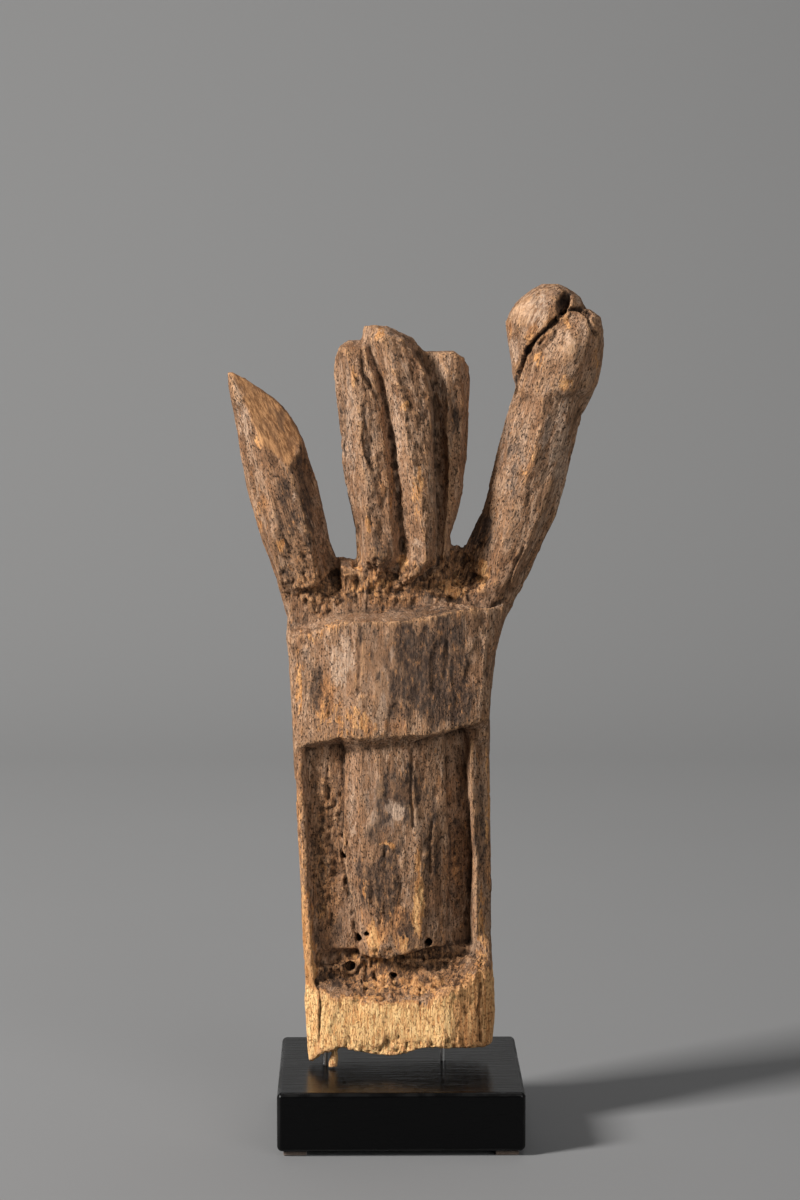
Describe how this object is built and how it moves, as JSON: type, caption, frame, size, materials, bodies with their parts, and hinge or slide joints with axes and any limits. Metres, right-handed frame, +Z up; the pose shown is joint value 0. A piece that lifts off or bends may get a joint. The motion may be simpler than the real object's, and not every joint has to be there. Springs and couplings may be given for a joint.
{
  "type": "ritual figure",
  "caption": "Weathered carved wooden ritual figure with a banded body and upright limbs, held by steel pins on a black plinth.",
  "frame": {"origin": "bottom centre of the whole object's bounding box, at the underside of the felt pads", "axes": "+Z up; +X to the right as one faces the carved front; the carved front faces -Y"},
  "size_m": [0.1426, 0.087, 0.3245],
  "materials": {
    "weathered_wood": "dry, weathered, rough patina",
    "black_lacquer": "glossy black lacquer over wood",
    "steel": "plain drawn steel pin",
    "felt": "pressed felt"
  },
  "bodies": {
    "root": {"carved_figure": "weathered_wood", "plinth": "black_lacquer", "mounting_pin_left": "steel", "mounting_pin_right": "steel", "felt_pad_front_left": "felt", "felt_pad_front_right": "felt", "felt_pad_back_left": "felt", "felt_pad_back_right": "felt"}
  },
  "joints": []
}
